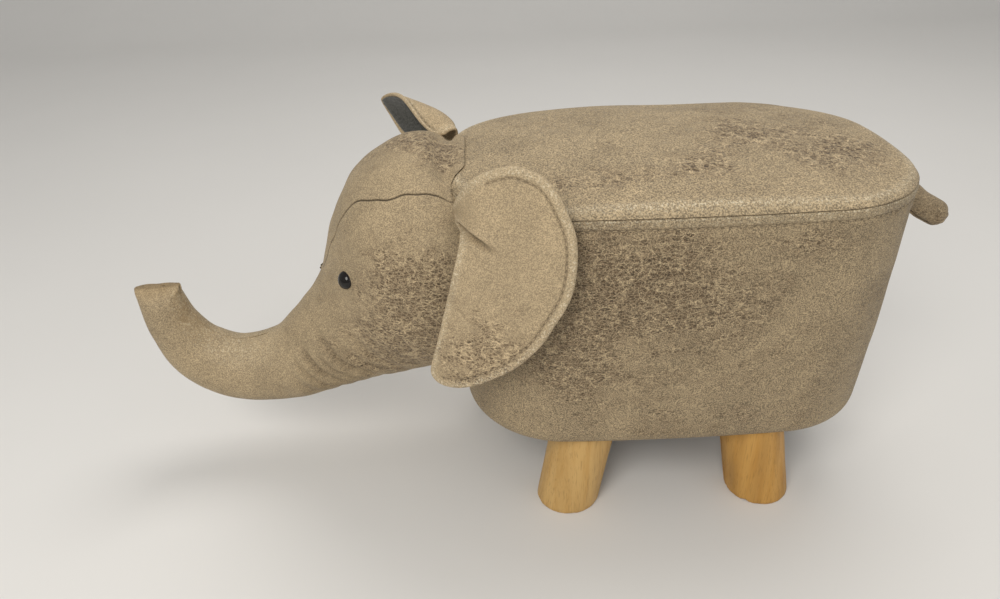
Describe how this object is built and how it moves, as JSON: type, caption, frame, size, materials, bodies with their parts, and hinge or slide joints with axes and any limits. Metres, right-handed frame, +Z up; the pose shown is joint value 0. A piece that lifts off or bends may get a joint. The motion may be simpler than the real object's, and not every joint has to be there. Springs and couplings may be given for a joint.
{
  "type": "upholstered animal footstool",
  "caption": "Low upholstered stool in the form of an elephant, with a stuffed head and trunk, sewn ears and tail and round wooden legs.",
  "frame": {"origin": "on the floor, under the middle of the overall length and width", "axes": "+X from trunk to tail, +Y towards the elephant's right side, +Z up"},
  "size_m": [0.5848, 0.2443, 0.2725],
  "materials": {
    "leatherette": "suede-like, lightly crackled and worn",
    "leatherette_trim": "suede-like",
    "felt": "short dark grey felt",
    "dust_cloth": "non-woven black",
    "foam": "open-cell foam",
    "filling": "polyester fibre filling",
    "leg_wood": "clear matt lacquer",
    "plywood": "raw",
    "softwood": "raw",
    "hardboard": "raw",
    "zinc_steel": "zinc plated",
    "eye_black": "polished",
    "washer_plastic": "moulded"
  },
  "bodies": {
    "stool": {"base_board": "plywood", "seat_board": "plywood", "front_panel": "plywood", "rear_panel": "plywood", "neck_board": "plywood", "post_front_left": "softwood", "post_front_right": "softwood", "post_rear_left": "softwood", "post_rear_right": "softwood", "frame_screws": "zinc_steel", "side_wrap": "hardboard", "side_foam": "foam", "seat_foam": "foam", "cover_side": "leatherette", "cover_top": "leatherette", "dust_cloth": "dust_cloth", "dust_cloth_staples": "zinc_steel", "hanger_bolts": "zinc_steel", "tee_nuts": "zinc_steel", "neck_bolts": "zinc_steel", "neck_washers": "zinc_steel", "neck_nuts": "zinc_steel", "head_stuffing": "filling", "head_panel_left": "leatherette", "head_panel_right": "leatherette", "head_gusset": "leatherette", "trunk_cap": "leatherette", "eye_left": "eye_black", "eye_right": "eye_black", "eye_washers": "washer_plastic", "leg_front_left": "leg_wood", "leg_front_right": "leg_wood", "leg_rear_left": "leg_wood", "leg_rear_right": "leg_wood"},
    "ear_left": {"ear_left_face": "leatherette_trim", "ear_left_padding": "filling", "ear_left_lining": "felt"},
    "ear_right": {"ear_right_face": "leatherette_trim", "ear_right_padding": "filling", "ear_right_lining": "felt"},
    "tail": {"tail_cover": "leatherette_trim", "tail_stuffing": "filling"}
  },
  "joints": [
    {"name": "ear_left_lift", "type": "hinge", "parent": "stool", "child": "ear_left", "pos_m": [-0.05792, -0.06524, 0.23144], "axis": [-1, 0, 0], "range_deg": [0, 60]},
    {"name": "ear_right_lift", "type": "hinge", "parent": "stool", "child": "ear_right", "pos_m": [-0.05792, 0.06524, 0.23144], "axis": [1, 0, 0], "range_deg": [-35, 20]},
    {"name": "tail_swing", "type": "hinge", "parent": "stool", "child": "tail", "pos_m": [0.24581, 0, 0.213], "axis": [0, 0, 1], "range_deg": [-40, 40]}
  ]
}
